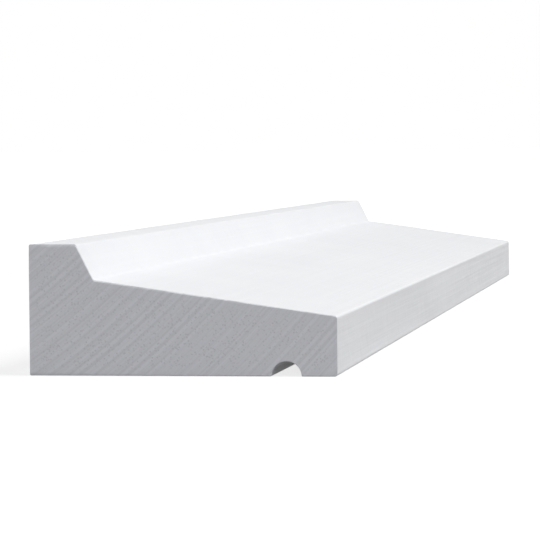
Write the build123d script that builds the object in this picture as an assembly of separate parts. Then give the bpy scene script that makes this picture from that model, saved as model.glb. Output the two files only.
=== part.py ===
from build123d import *
import os

# Drip cap: a moulding that throws rain clear of a door or window head.
# Its back lies against the wall, its underside sits on the head casing, and the
# cladding above laps over the upstand along its back edge.
#
# Axes: +X along the length, +Y towards the wall, +Z up. The origin is on the plane of
# the underside, half way along the piece and half way from nose face to back face.

INCH = 25.4

# Driving dimensions, in millimetres. The section is drawn to thirty-seconds of an inch.
LENGTH = 12 * INCH                # a cut length, square at both ends
DEPTH = (1 + 5 / 8) * INCH        # nose face to back face
NOSE_HEIGHT = 5 / 16 * INCH       # upright face at the front
WEATHERING_FALL = 3 / 16 * INCH   # drop of the sloping top, from upstand to nose
UPSTAND_RISE = 3 / 16 * INCH      # upstand above the head of the sloping top
UPSTAND_TOP = 1 / 4 * INCH        # flat on top of the upstand, from the back face
UPSTAND_BATTER = 3 / 32 * INCH    # how far the upstand's face leans forward at its foot
GROOVE_WIDTH = 5 / 32 * INCH      # half-round drip groove, so it is half as deep
GROOVE_INSET = 3 / 16 * INCH      # nose face to the groove's front arris

# The extruding die leaves every long arris eased, and the one inner corner as a cove.
ARRIS_RADIUS = 1 / 64 * INCH      # outer arrises that show
BACK_RADIUS = 1 / 128 * INCH      # the two arrises that meet the wall
GROOVE_ARRIS_RADIUS = 1 / 128 * INCH
FOOT_RADIUS = 1 / 64 * INCH       # cove where the sloping top meets the upstand

# Places that follow from the sizes above.
NOSE_Y = -DEPTH / 2
BACK_Y = DEPTH / 2
UPSTAND_FRONT_Y = BACK_Y - UPSTAND_TOP
FOOT_Y = UPSTAND_FRONT_Y - UPSTAND_BATTER
FOOT_Z = NOSE_HEIGHT + WEATHERING_FALL
TOP_Z = FOOT_Z + UPSTAND_RISE
GROOVE_RADIUS = GROOVE_WIDTH / 2
GROOVE_Y = NOSE_Y + GROOVE_INSET + GROOVE_RADIUS


def outline_corners():
    """Corners of the section as (y, z, easing radius), from the nose's foot round by the back."""
    return [
        (NOSE_Y, 0, ARRIS_RADIUS),
        (BACK_Y, 0, BACK_RADIUS),
        (BACK_Y, TOP_Z, BACK_RADIUS),
        (UPSTAND_FRONT_Y, TOP_Z, ARRIS_RADIUS),
        (FOOT_Y, FOOT_Z, FOOT_RADIUS),
        (NOSE_Y, NOSE_HEIGHT, ARRIS_RADIUS),
    ]


def groove_mouth(sketch):
    """The two corners where the drip groove opens in the underside."""
    return [
        vertex
        for vertex in sketch.vertices()
        if abs(vertex.Z) < 1e-6 and abs(abs(vertex.Y - GROOVE_Y) - GROOVE_RADIUS) < 1e-6
    ]


def section():
    """The moulding's section: weathered top, upstand, nose and half-round drip groove."""
    corners = outline_corners()
    with BuildSketch(Plane.YZ) as drawn:
        with BuildLine():
            FilletPolyline(
                [(y, z) for y, z, radius in corners],
                radius=[radius for y, z, radius in corners],
                close=True,
            )
        make_face()
        with Locations((GROOVE_Y, 0)):
            Circle(GROOVE_RADIUS, mode=Mode.SUBTRACT)
    return fillet(groove_mouth(drawn.sketch), GROOVE_ARRIS_RADIUS)


def drip_cap():
    """The whole piece: the one section, run for its length and cut square."""
    moulding = extrude(section(), LENGTH / 2, dir=(1, 0, 0), both=True)
    moulding.label = "drip_cap"
    return moulding


os.makedirs("parts", exist_ok=True)
export_step(drip_cap(), "parts/drip_cap.step")
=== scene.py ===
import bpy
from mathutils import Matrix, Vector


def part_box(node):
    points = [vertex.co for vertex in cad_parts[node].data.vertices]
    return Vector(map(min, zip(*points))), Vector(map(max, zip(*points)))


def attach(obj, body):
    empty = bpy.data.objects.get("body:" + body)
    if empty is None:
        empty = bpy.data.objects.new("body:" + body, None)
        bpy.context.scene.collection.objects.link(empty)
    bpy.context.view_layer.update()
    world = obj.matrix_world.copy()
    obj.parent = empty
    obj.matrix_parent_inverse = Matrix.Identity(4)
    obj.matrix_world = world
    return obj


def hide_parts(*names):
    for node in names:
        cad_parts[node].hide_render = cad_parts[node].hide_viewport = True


bl_info = {
    "name": "Drip cap",
    "version": (1, 0, 0),
    "blender": (4, 5, 0),
    "location": "View3D > Sidebar > Drip cap",
    "description": "Builds a length of extruded drip cap moulding on a pale studio floor",
    "category": "Add Mesh",
}

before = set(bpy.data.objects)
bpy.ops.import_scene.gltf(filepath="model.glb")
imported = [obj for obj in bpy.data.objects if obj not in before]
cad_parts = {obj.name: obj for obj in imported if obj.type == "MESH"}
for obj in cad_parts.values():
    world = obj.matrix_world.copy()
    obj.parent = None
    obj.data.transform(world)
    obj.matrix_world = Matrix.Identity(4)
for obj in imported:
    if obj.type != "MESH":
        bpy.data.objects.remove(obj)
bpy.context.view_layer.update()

import cmath
import math

import bmesh
import bpy
import numpy as np
from bpy.props import FloatProperty, FloatVectorProperty, PointerProperty, StringProperty
from mathutils import Matrix, Vector

INCH = 0.0254
MM = 0.001
NODE = "drip_cap"

LOWEST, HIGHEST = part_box(NODE)
LENGTH, DEPTH, HEIGHT = HIGHEST - LOWEST


def length_property(name, description, default):
    """A size that the user sees in the scene's own unit of length."""
    return FloatProperty(
        name=name, description=description, default=default, min=0, unit="LENGTH", precision=5
    )


def level_property(name, description, default):
    """How strong a light is: 1 shows a colour about as it is written."""
    return FloatProperty(name=name, description=description, default=default, min=0)


def direction_property(name, description, default):
    """The way to a light: along the run, towards the wall, and up."""
    return FloatVectorProperty(name=name, description=description, default=default, subtype="DIRECTION")


def angle_property(name, description, degrees):
    """An angle that the user sees in degrees."""
    return FloatProperty(
        name=name, description=description, default=math.radians(degrees), subtype="ANGLE"
    )


def colour_property(name, description, default):
    """A colour as an sRGB hex value."""
    return StringProperty(name=name, description=description, default=default)


class DripCapSizes(bpy.types.PropertyGroup):
    """The section's sizes, as the extruding die is cut, and how the piece was sawn off."""

    nose_height: length_property("Nose height", "Upright face at the front", 5 / 16 * INCH)
    weathering_fall: length_property("Weathering fall", "Drop of the sloping top", 3 / 16 * INCH)
    upstand_top: length_property("Upstand top", "Flat on top of the upstand", 1 / 4 * INCH)
    upstand_batter: length_property("Upstand batter", "Lean of the upstand's face", 3 / 32 * INCH)
    groove_width: length_property("Groove width", "Mouth of the half-round drip groove", 5 / 32 * INCH)
    groove_inset: length_property("Groove inset", "From the nose face to the groove", 3 / 16 * INCH)
    arris_radius: length_property("Arris radius", "Easing of the long arrises that show", 1 / 64 * INCH)
    back_radius: length_property("Back radius", "Easing of the two arrises at the wall", 1 / 128 * INCH)
    groove_arris_radius: length_property("Groove arris", "Easing of the groove's mouth", 1 / 128 * INCH)
    foot_radius: length_property("Foot radius", "Cove where the slope meets the upstand", 1 / 64 * INCH)
    saw_radius: length_property("Saw radius", "Radius of the saw blade that cut the ends", 5 * INCH)
    saw_pitch: length_property("Saw pitch", "Distance between two of the saw's tooth marks", 1.2 * MM)
    saw_depth: length_property("Saw depth", "Depth of the saw's tooth marks", 0.01 * MM)
    sawn_arris: length_property("Sawn arris", "Width that is rubbed off the sawn edges", 0.1 * MM)
    run_wave: length_property("Run wave", "How much the section varies along the run", 0.03 * MM)


class DripCapFinish(bpy.types.PropertyGroup):
    """Colours of the plastic, and the painted shade in its opened cells, as sRGB hex values."""

    skin: colour_property("Skin", "The closed skin that the die leaves, at its lightest", "#EEEFF1")
    skin_shade: colour_property("Skin shade", "The skin where its tone is a trace deeper", "#E9EAED")
    sawn: colour_property("Sawn", "Plastic that the saw has opened", "#E1E2E8")
    sawn_shade: colour_property("Sawn shade", "Sawn plastic where the teeth dragged", "#D7D8DD")
    # The pore colour is painted shade inside the opened cells, not a colour of the plastic.
    pore_painted_shade: colour_property("Pore", "The shade inside an opened cell", "#CACBD1")


class DripCapStage(bpy.types.PropertyGroup):
    """The floor, the soft lights and the camera."""

    key_level: level_property("Key level", "Light from the key, square on a surface", 0.93)
    key_direction: direction_property("Key direction", "Towards the key: high in front", (0, -0.55, 0.83))
    key_distance: length_property("Key distance", "From the near end to the key", 1.4)
    key_size: length_property("Key size", "Side of the square key", 0.75)
    end_level: level_property("End level", "Light from the end light, square on a surface", 0.27)
    end_direction: direction_property(
        "End direction", "Towards the end light: beyond the near end, low", (-0.98, -0.15, 0.13)
    )
    end_distance: length_property("End distance", "From the near end to the end light", 1.4)
    end_size: length_property("End size", "Side of the square end light", 0.3)
    fill_level: level_property("Fill level", "Light from the fill, square on a surface", 0.6)
    fill_direction: direction_property(
        "Fill direction", "Towards the fill: behind and beyond the far end, low", (0.7, 0.7, 0.05)
    )
    fill_distance: length_property("Fill distance", "From the middle to the fill", 4)
    fill_size: length_property("Fill size", "Side of the square fill", 0.36)
    sky_level: level_property("Sky level", "Even light from all round", 0.18)
    floor_lift: level_property("Floor lift", "Glow that the eye sees near the moulding", 0.785)
    lift_start: length_property("Lift start", "From the middle to where the glow grows", 0.6 * LENGTH)
    lift_end: length_property("Lift end", "From the middle to where the glow is full", 1.4 * LENGTH)
    floor_colour: colour_property("Floor", "The floor's paint", "#8C8C8C")
    floor_reach: length_property("Floor reach", "From the middle to the floor's edge", 18)
    camera_place: FloatVectorProperty(
        name="Camera place", description="Where the camera stands", subtype="TRANSLATION",
        default=(-540.9 * MM, -71.8 * MM, 30.2 * MM)
    )
    camera_heading: angle_property("Camera heading", "Turn from the run towards the wall", 8.78)
    camera_dip: angle_property("Camera dip", "How far the camera looks down", 2.36)
    camera_roll: angle_property("Camera roll", "Lean of the camera about its view", -0.45)
    camera_lens: FloatProperty(
        name="Camera lens", description="Focal length", subtype="DISTANCE_CAMERA", default=200
    )


# The mesh of the moulding. A point of the section is the complex number y + z j, and both edges of the
# section, the lower and the upper, run from nose to back.
ARC_STEPS = 8                   # columns over one eased arris
FINE_STEPS = 64                 # steps of the finer arc that gives a column its height
COLUMN_PITCH = 0.21 * MM        # widest column
LEAST_COLUMN = 0.004 * MM       # marks nearer than this share one column
ROWS = 78                       # faces of a sawn end from the underside to the top
RINGS = 72                      # faces of the skin along the run
SHARP_ANGLE = math.radians(30)  # an edge that turns more than this is shaded as an edge

# The saw. Its marks are arcs about the blade's centre, and no two are quite alike.
BLADE_BEHIND, BLADE_ABOVE = 0.55, 0.8  # the centre from the back and the underside, in blade radii
MARK_DEPTH = 0.6                       # a mark above and below the mean, as a share of the saw depth
SLOW_CHANGE = (0.25, 0.23)             # how much that comes and goes, and how often to a mark
QUICK_CHANGE = (0.15, 0.41)
WANDER = (0.8, 0.17)                   # how far marks stray from an even pitch, and how often to a mark
RUB_CHANGE = 0.2                       # how much the rubbed width comes and goes along a sawn edge
RUB_ACROSS, RUB_UP, RUB_QUICK = 1.7 * MM, 2.3 * MM, 0.6 * MM  # over what distances it does so

# The run. Each part of a wave is its share, its length and its start.
DEPTH_WAVE = ((0.3, 9 * MM, 0), (0.2, 23 * MM, 1))
HEIGHT_WAVE = ((0.3, 7 * MM, 2), (0.2, 31 * MM, 0))

SKIN, SAWN = 0, 1  # the moulding's materials
PVC_IOR = 1.53


def eased_corner(before, corner, after, radius, steps):
    """Points along the arc that eases one corner, from the line before it to the line after it."""
    back = (before - corner) / abs(before - corner)
    on = (after - corner) / abs(after - corner)
    half = abs(cmath.phase(on / back)) / 2
    centre = corner + (back + on) / abs(back + on) * radius / math.sin(half)
    first = corner + back * radius / math.tan(half) - centre
    last = corner + on * radius / math.tan(half) - centre
    return arc(centre, first, cmath.phase(last / first), steps)


def arc(centre, first, turn, steps):
    """Points from centre + first, turned about the centre by the angle."""
    return [centre + first * cmath.exp(1j * turn * step / steps) for step in range(steps + 1)]


def lower_edge(sizes, steps):
    """The underside: the nose's foot, the half-round groove with its eased mouth, and the back's foot."""
    nose_foot, back_foot = complex(LOWEST.y, 0), complex(HIGHEST.y, 0)
    radius, easing = sizes.groove_width / 2, sizes.groove_arris_radius
    groove = nose_foot + sizes.groove_inset + radius
    reach = math.sqrt((radius + easing) ** 2 - easing**2)
    lean = math.asin(easing / (radius + easing))
    front, rear = groove + complex(-reach, easing), groove + complex(reach, easing)
    roof = arc(groove, radius * cmath.exp(1j * (math.pi - lean)), 2 * lean - math.pi, steps * 3)
    return [
        *eased_corner(nose_foot + 1j, nose_foot, back_foot, sizes.arris_radius, steps),
        *arc(front, -1j * easing, math.pi / 2 - lean, steps),
        *roof[1:-1],
        *arc(rear, easing * cmath.exp(1j * (math.pi + lean)), math.pi / 2 - lean, steps),
        *eased_corner(nose_foot, back_foot, back_foot + 1j, sizes.back_radius, steps),
    ]


def upper_edge(sizes, steps):
    """The top: the nose's arris, the cove at the upstand's foot, and the upstand's two arrises."""
    upstand_y = HIGHEST.y - sizes.upstand_top
    foot = complex(upstand_y - sizes.upstand_batter, sizes.nose_height + sizes.weathering_fall)
    nose, upstand = complex(LOWEST.y, sizes.nose_height), complex(upstand_y, HEIGHT)
    back = complex(HIGHEST.y, HEIGHT)
    return [
        *eased_corner(nose - 1j, nose, foot, sizes.arris_radius, steps),
        *eased_corner(nose, foot, upstand, sizes.foot_radius, steps),
        *eased_corner(foot, upstand, back, sizes.arris_radius, steps),
        *eased_corner(upstand, back, back - 1j, sizes.back_radius, steps),
    ]


def section_grid(sizes):
    """The section as columns from nose to back, with rows from the underside up: y and z of a point."""
    marks = sorted({p.real for edge in (lower_edge, upper_edge) for p in edge(sizes, ARC_STEPS)})
    columns = [marks[0]]
    for mark in marks[1:]:
        gap = mark - columns[-1]
        if gap > LEAST_COLUMN:
            parts = math.ceil(gap / COLUMN_PITCH)
            columns += [columns[-1] + gap / parts * step for step in range(1, parts + 1)]
    columns[-1] = marks[-1]
    heights = []
    for edge in (lower_edge, upper_edge):
        points = np.array(edge(sizes, FINE_STEPS))
        heights.append(np.interp(columns, points.real, points.imag))
    low, high = (height[:, None] for height in heights)
    z = low + (high - low) * np.linspace(0, 1, ROWS + 1)
    y = np.repeat(np.array(columns)[:, None], ROWS + 1, axis=1)
    return y, z


def rim_of(grid):
    """The grid's rim as pairs of column and row, once round."""
    last, top = grid.shape[0] - 1, grid.shape[1] - 1
    return (
        [(column, 0) for column in range(last)]
        + [(last, row) for row in range(top)]
        + [(column, top) for column in range(last, 0, -1)]
        + [(0, row) for row in range(top, 0, -1)]
    )


def values_on(rim, values):
    """The values of a grid at each place of its rim."""
    return np.array([values[place] for place in rim])


def blade_centre(sizes):
    """Where the saw's blade turned as its rim crossed the section: behind the piece and above it."""
    return HIGHEST.y + BLADE_BEHIND * sizes.saw_radius, BLADE_ABOVE * sizes.saw_radius


def swing(turns, change, start=0.0):
    """A slow wave over the saw's marks, from how much it changes and how often to a mark."""
    much, often = change
    return much * np.sin(turns * often + start)


def saw_marks(y, z, sizes, end):
    """How deep the saw's teeth cut into an end, in arcs about the blade's centre."""
    centre_y, centre_z = blade_centre(sizes)
    turns = np.hypot(y - centre_y, z - centre_z) / sizes.saw_pitch * 2 * math.pi
    deeper = MARK_DEPTH + swing(turns, SLOW_CHANGE, end) + swing(turns, QUICK_CHANGE)
    return sizes.saw_depth * (1 + deeper * np.sin(turns + swing(turns, WANDER)))


def rubbed(rim_y, rim_z, sizes, end):
    """How far each point of a sawn edge is rubbed back: a little, and unevenly."""
    slow = np.sin(rim_y / RUB_ACROSS + end) * np.sin(rim_z / RUB_UP)
    return sizes.sawn_arris * (1 + RUB_CHANGE * (slow + np.sin((rim_y + rim_z) / RUB_QUICK)))


def wave(x, parts):
    """An uneven wave along the run, which stays between 0 and 1."""
    return 0.5 + sum(share * math.sin(x / length + start) for share, length, start in parts)


def calibrated(x, y, z, sizes):
    """The section as it left the die: a trace thinner and shallower here and there along the run."""
    thinner, shallower = (sizes.run_wave * wave(x, parts) for parts in (DEPTH_WAVE, HEIGHT_WAVE))
    return y * (1 - thinner / DEPTH), z * (1 - shallower / HEIGHT)


def depth_under_skin(y, z, rim):
    """How far each point of a sawn end lies from the nearest face."""
    line = zip(values_on(rim, y), values_on(rim, z))
    return np.sqrt(np.min([(y - rim_y) ** 2 + (z - rim_z) ** 2 for rim_y, rim_z in line], axis=0))


def sawn_face(mesh, y, z, rim, sizes, end):
    """Adds a sawn end as a grid of faces, and gives back the points of its rim, once round."""
    x = end * (LENGTH / 2 - saw_marks(y, z, sizes, end))
    for place, back in zip(rim, rubbed(values_on(rim, y), values_on(rim, z), sizes, end)):
        x[place] = end * (LENGTH / 2 - back)
    end_y, end_z = calibrated(end * LENGTH / 2, y, z, sizes)
    under_skin = depth_under_skin(y, z, rim)
    skin_depth = mesh.verts.layers.float["skin_depth"]
    points = {}
    for place in np.ndindex(y.shape):
        points[place] = mesh.verts.new((x[place], end_y[place], end_z[place]))
        points[place][skin_depth] = under_skin[place]
    for column, row in np.ndindex(y.shape[0] - 1, y.shape[1] - 1):
        corners = ((column, row), (column + 1, row), (column + 1, row + 1), (column, row + 1))
        mesh.faces.new([points[place] for place in corners]).material_index = SAWN
    return [points[place] for place in rim]


def moulding_mesh(sizes):
    """The whole moulding as one closed mesh: two sawn ends, and the skin between them."""
    y, z = section_grid(sizes)
    rim = rim_of(y)
    mesh = bmesh.new()
    mesh.verts.layers.float.new("skin_depth")
    near_end, far_end = (sawn_face(mesh, y, z, rim, sizes, end) for end in (-1, 1))

    rings = [near_end]
    for step in range(1, RINGS):
        x = LENGTH * (step / RINGS - 0.5)
        ring = calibrated(x, values_on(rim, y), values_on(rim, z), sizes)
        rings.append([mesh.verts.new((x, ring_y, ring_z)) for ring_y, ring_z in zip(*ring)])
    rings.append(far_end)
    for near, far in zip(rings, rings[1:]):
        for place in range(len(rim)):
            face = mesh.faces.new([near[place - 1], near[place], far[place], far[place - 1]])
            face.material_index = SKIN

    for face in mesh.faces:
        face.smooth = True
    bmesh.ops.recalc_face_normals(mesh, faces=mesh.faces)
    data = bpy.data.meshes.new("drip_cap_moulding")
    mesh.to_mesh(data)
    mesh.free()
    data.set_sharp_from_angle(angle=SHARP_ANGLE)
    return data


def linear(colour):
    """An sRGB hex value as the linear colour, with its alpha of 1, that the shaders take."""
    parts = [int(colour[place : place + 2], 16) / 255 for place in (1, 3, 5)]
    red, green, blue = (
        part / 12.92 if part <= 0.04045 else ((part + 0.055) / 1.055) ** 2.4 for part in parts
    )
    return red, green, blue, 1.0


def add_node(tree, kind, inputs=None, **settings):
    """Adds one node. Each input is a value, a socket, or a node whose first output feeds it."""
    node = tree.nodes.new(kind)
    for name, value in settings.items():
        setattr(node, name, value)
    for key, value in (inputs or {}).items():
        named = [socket for socket in node.inputs if socket.enabled and socket.name == key]
        socket = named[0] if named else node.inputs[key]
        if isinstance(value, bpy.types.Node):
            value = next(output for output in value.outputs if output.enabled)
        if isinstance(value, bpy.types.NodeSocket):
            tree.links.new(value, socket)
        else:
            socket.default_value = value
    return node


def new_material(name):
    """A material with an empty node tree."""
    material = bpy.data.materials.new(name)
    material.use_nodes = True
    material.node_tree.nodes.clear()
    return material, material.node_tree


def extruded_skin(finish):
    """Cellular PVC as it leaves the die: a closed, cool white satin skin. The die draws faint lines along
    the run, and the foam under the skin leaves it a trace uneven, so a soft light is never quite even."""
    material, tree = new_material("extruded_pvc_skin")
    place = add_node(tree, "ShaderNodeTexCoord").outputs["Object"]

    # Die lines are some 0.4 mm apart and hold for a hand's width. They are drawn 0.7 mm apart, to show.
    line_length, line_pitch = 90 * MM, 0.7 * MM
    drawn_out = add_node(
        tree, "ShaderNodeMapping",
        {"Vector": place, "Scale": (1 / line_length, 1 / line_pitch, 1 / line_pitch)},
    )
    die_lines = add_node(tree, "ShaderNodeTexNoise", {"Vector": drawn_out, "Scale": 1.0, "Detail": 3.0})
    # The skin rises and falls over a few millimetres, and its tone drifts over a few centimetres.
    uneven = add_node(
        tree, "ShaderNodeTexNoise", {"Vector": place, "Scale": 1 / (3.5 * MM), "Detail": 2.0}
    )
    cloud = add_node(tree, "ShaderNodeTexNoise", {"Vector": place, "Scale": 1 / (18 * MM), "Detail": 2.0})

    colour = add_node(
        tree, "ShaderNodeMix",
        {"Factor": cloud, "A": linear(finish.skin), "B": linear(finish.skin_shade)},
        data_type="RGBA",
    )
    roughness = add_node(
        tree, "ShaderNodeMapRange",
        {"Value": die_lines, "From Min": 0.3, "From Max": 0.7, "To Min": 0.5, "To Max": 0.74},
    )
    broad = add_node(tree, "ShaderNodeBump", {"Height": uneven, "Strength": 1.0, "Distance": 0.1 * MM})
    lined = add_node(
        tree, "ShaderNodeBump",
        {"Height": die_lines, "Strength": 1.0, "Distance": 0.06 * MM, "Normal": broad},
    )
    shader = add_node(
        tree, "ShaderNodeBsdfPrincipled",
        {"Base Color": colour, "Roughness": roughness, "IOR": PVC_IOR, "Normal": lined},
    )
    add_node(tree, "ShaderNodeOutputMaterial", {"Surface": shader})
    return material


def sawn_end(finish, sizes):
    """Cellular PVC where the saw has opened it: matt, a trace greyer, with fine cells cut open and the
    teeth's arcs dragged across it. The cells' hollows carry painted shade. Near the faces the foam closes
    up, so the cells die out there."""
    material, tree = new_material("sawn_pvc_end")
    place = add_node(tree, "ShaderNodeTexCoord").outputs["Object"]

    # Cells are about 0.1 mm across. They are drawn 0.3 mm apart, the finest that shows.
    cells = add_node(
        tree, "ShaderNodeTexVoronoi", {"Vector": place, "Scale": 1 / (0.3 * MM), "Randomness": 1.0}
    )
    opened = add_node(
        tree, "ShaderNodeMapRange",
        {
            "Value": cells.outputs["Distance"], "From Min": 0.1, "From Max": 0.6,
            "To Min": 1.0, "To Max": 0.0,
        },
    )
    # Only some cells are cut across their widest, and those get the deepest painted shade.
    shade_of_cell = add_node(tree, "ShaderNodeSeparateColor", {"Color": cells.outputs["Color"]})
    open_cell = add_node(
        tree, "ShaderNodeMapRange",
        {
            "Value": shade_of_cell.outputs["Red"], "From Min": 0.2, "From Max": 1.0,
            "To Min": 0.0, "To Max": 1.0,
        },
    )
    under_skin = add_node(tree, "ShaderNodeAttribute", attribute_name="skin_depth").outputs["Fac"]
    in_the_core = add_node(
        tree, "ShaderNodeMapRange",
        {"Value": under_skin, "From Min": 0.3 * MM, "From Max": 1.6 * MM, "To Min": 0.15, "To Max": 1.0},
    )
    shown = add_node(tree, "ShaderNodeMath", {0: opened, 1: open_cell}, operation="MULTIPLY")
    # This mask gives the cells' relief in the bump, and their painted shade in the colour.
    pores_and_painted_shade = add_node(tree, "ShaderNodeMath", {0: shown, 1: in_the_core}, operation="MULTIPLY")

    # The teeth also leave fine scores about the blade's centre, some half a millimetre apart.
    blade = add_node(
        tree, "ShaderNodeVectorMath", {0: place, 1: (0, *blade_centre(sizes))}, operation="SUBTRACT"
    )
    flat = add_node(tree, "ShaderNodeVectorMath", {0: blade, 1: (0, 1, 1)}, operation="MULTIPLY")
    reach = add_node(tree, "ShaderNodeVectorMath", {0: flat}, operation="LENGTH")
    scores = add_node(
        tree, "ShaderNodeTexNoise",
        {"W": reach.outputs["Value"], "Scale": 1 / (0.45 * MM), "Detail": 1.0},
        noise_dimensions="1D",
    )
    dragged = add_node(
        tree, "ShaderNodeMapRange",
        {"Value": scores, "From Min": 0.35, "From Max": 0.7, "To Min": 0.0, "To Max": 1.0},
    )

    ground = add_node(
        tree, "ShaderNodeMix",
        {"Factor": dragged, "A": linear(finish.sawn), "B": linear(finish.sawn_shade)},
        data_type="RGBA",
    )
    colour = add_node(
        # Painted shade: the pore colour darkens the hollows of the opened cells.
        tree, "ShaderNodeMix", {"Factor": pores_and_painted_shade, "A": ground, "B": linear(finish.pore_painted_shade)}, data_type="RGBA"
    )
    scored = add_node(tree, "ShaderNodeBump", {"Height": scores, "Strength": 1.0, "Distance": 0.006 * MM})
    pitted = add_node(
        tree, "ShaderNodeBump",
        {"Height": pores_and_painted_shade, "Strength": 1.0, "Distance": 0.008 * MM, "Normal": scored},
        invert=True,
    )
    shader = add_node(
        tree, "ShaderNodeBsdfPrincipled",
        {"Base Color": colour, "Roughness": 0.72, "IOR": PVC_IOR, "Normal": pitted},
    )
    add_node(tree, "ShaderNodeOutputMaterial", {"Surface": shader})
    return material


def seen_directly(tree):
    """1 for what the camera sees, straight, in a gloss or through glass, and 0 for light on a surface."""
    ray = add_node(tree, "ShaderNodeLightPath")
    straight_or_gloss = add_node(
        tree, "ShaderNodeMath", {0: ray.outputs["Is Camera Ray"], 1: ray.outputs["Is Glossy Ray"]},
        operation="MAXIMUM",
    )
    return add_node(
        tree, "ShaderNodeMath", {0: straight_or_gloss, 1: ray.outputs["Is Transmission Ray"]},
        operation="MAXIMUM",
    )


def floor_paint(stage):
    """Matt emulsion on a board: pale, with no gloss, and lifted to white for the eye alone, so that it
    still takes the moulding's shadow. Away from the moulding the lift alone makes it plain white."""
    material, tree = new_material("matt_floor_paint")
    place = add_node(tree, "ShaderNodeTexCoord").outputs["Object"]
    away = add_node(tree, "ShaderNodeVectorMath", {0: place}, operation="LENGTH")
    lift = add_node(
        tree, "ShaderNodeMapRange",
        {
            "Value": away.outputs["Value"], "From Min": stage.lift_start, "From Max": stage.lift_end,
            "To Min": stage.floor_lift, "To Max": 1.0,
        },
        interpolation_type="SMOOTHSTEP",
    )
    matt = add_node(tree, "ShaderNodeBsdfDiffuse", {"Color": linear(stage.floor_colour)})
    strength = add_node(tree, "ShaderNodeMath", {0: lift, 1: seen_directly(tree)}, operation="MULTIPLY")
    glow = add_node(tree, "ShaderNodeEmission", {"Strength": strength})
    both = add_node(tree, "ShaderNodeAddShader", {0: matt, 1: glow})
    add_node(tree, "ShaderNodeOutputMaterial", {"Surface": both})
    return material


def white_room(stage):
    """An even, dim light from all round, seen as plain white."""
    world = bpy.data.worlds.new("white_room")
    world.use_nodes = True
    tree = world.node_tree
    tree.nodes.clear()
    level = add_node(
        tree, "ShaderNodeMapRange",
        {"Value": seen_directly(tree), "To Min": stage.sky_level, "To Max": 1.0},
    )
    glow = add_node(tree, "ShaderNodeBackground", {"Color": linear("#FFFFFF"), "Strength": level})
    add_node(tree, "ShaderNodeOutputWorld", {"Surface": glow})
    return world


def soft_light(name, aim, stage):
    """A square soft light that throws its level on a surface that faces it at the aim. White there takes
    (pi x distance) squared watts. No gloss shows the light: a gloss shows the white room alone."""
    level, direction, distance, size = (
        getattr(stage, f"{name}_{setting}") for setting in ("level", "direction", "distance", "size")
    )
    light = bpy.data.lights.new(f"{name}_light", "AREA")
    light.shape = "SQUARE"
    light.size = size
    light.energy = level * (math.pi * distance) ** 2
    lamp = bpy.data.objects.new(f"{name}_light", light)
    direction = Vector(direction).normalized()
    lamp.location = Vector(aim) + direction * distance
    lamp.rotation_euler = direction.to_track_quat("Z", "Y").to_euler()
    lamp.visible_camera = False
    lamp.visible_glossy = False
    bpy.context.scene.collection.objects.link(lamp)


class DRIPCAP_OT_moulding(bpy.types.Operator):
    """Build the moulding in place of its plain solid"""

    bl_idname = "drip_cap.moulding"
    bl_label = "Moulding"

    def execute(self, context):
        sizes, finish = context.scene.drip_cap_sizes, context.scene.drip_cap_finish
        moulding = bpy.data.objects.new("drip_cap_moulding", moulding_mesh(sizes))
        for material in (extruded_skin(finish), sawn_end(finish, sizes)):
            moulding.data.materials.append(material)
        context.scene.collection.objects.link(moulding)
        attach(moulding, "root")
        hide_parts(NODE)
        return {"FINISHED"}


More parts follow.
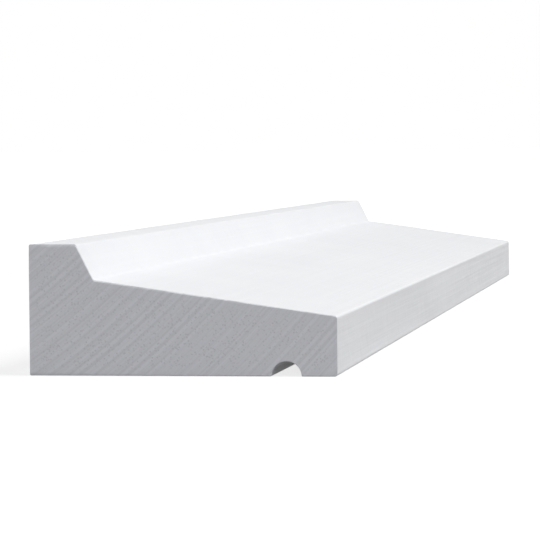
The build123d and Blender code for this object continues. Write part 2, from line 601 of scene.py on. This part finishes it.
class DRIPCAP_OT_stage(bpy.types.Operator):
    """Set the floor, the soft lights, the white room and the camera"""

    bl_idname = "drip_cap.stage"
    bl_label = "Stage"

    def execute(self, context):
        scene, stage = context.scene, context.scene.drip_cap_stage
        reach = stage.floor_reach
        board = bpy.data.meshes.new("floor")
        corners = [(-reach, -reach, 0), (reach, -reach, 0), (reach, reach, 0), (-reach, reach, 0)]
        board.from_pydata(corners, [], [(0, 1, 2, 3)])
        board.materials.append(floor_paint(stage))
        floor = bpy.data.objects.new("floor", board)
        floor.location.z = LOWEST.z
        scene.collection.objects.link(floor)

        near_end, middle = (LOWEST.x, 0, HEIGHT / 2), (0, 0, 0)
        soft_light("key", near_end, stage)
        soft_light("end", near_end, stage)
        soft_light("fill", middle, stage)
        scene.world = white_room(stage)
        scene.view_settings.view_transform = "Standard"

        camera = bpy.data.objects.new("camera", bpy.data.cameras.new("camera"))
        camera.data.lens = stage.camera_lens
        camera.data.clip_start = 10 * MM
        quarter = math.radians(90)
        camera.matrix_world = (
            Matrix.Translation(stage.camera_place)
            @ Matrix.Rotation(stage.camera_heading - quarter, 4, "Z")
            @ Matrix.Rotation(quarter - stage.camera_dip, 4, "X")
            @ Matrix.Rotation(stage.camera_roll, 4, "Z")
        )
        scene.collection.objects.link(camera)
        scene.camera = camera
        return {"FINISHED"}


class DRIPCAP_PT_sidebar(bpy.types.Panel):
    """The moulding's sizes, its finish and its stage"""

    bl_idname = "DRIPCAP_PT_sidebar"
    bl_label = "Drip cap"
    bl_space_type = "VIEW_3D"
    bl_region_type = "UI"
    bl_category = "Drip cap"

    def draw(self, context):
        scene = context.scene
        for settings, operator in (
            (scene.drip_cap_sizes, None),
            (scene.drip_cap_finish, DRIPCAP_OT_moulding),
            (scene.drip_cap_stage, DRIPCAP_OT_stage),
        ):
            column = self.layout.column()
            for name in settings.__annotations__:
                column.prop(settings, name)
            if operator:
                column.operator(operator.bl_idname)


CLASSES = (
    DripCapSizes, DripCapFinish, DripCapStage, DRIPCAP_OT_moulding, DRIPCAP_OT_stage, DRIPCAP_PT_sidebar,
)


def register():
    for kind in CLASSES:
        bpy.utils.register_class(kind)
    bpy.types.Scene.drip_cap_sizes = PointerProperty(type=DripCapSizes)
    bpy.types.Scene.drip_cap_finish = PointerProperty(type=DripCapFinish)
    bpy.types.Scene.drip_cap_stage = PointerProperty(type=DripCapStage)


def unregister():
    del bpy.types.Scene.drip_cap_stage
    del bpy.types.Scene.drip_cap_finish
    del bpy.types.Scene.drip_cap_sizes
    for kind in reversed(CLASSES):
        bpy.utils.unregister_class(kind)


def main():
    register()
    bpy.ops.drip_cap.moulding()
    bpy.ops.drip_cap.stage()


if __name__ == "__main__":
    main()
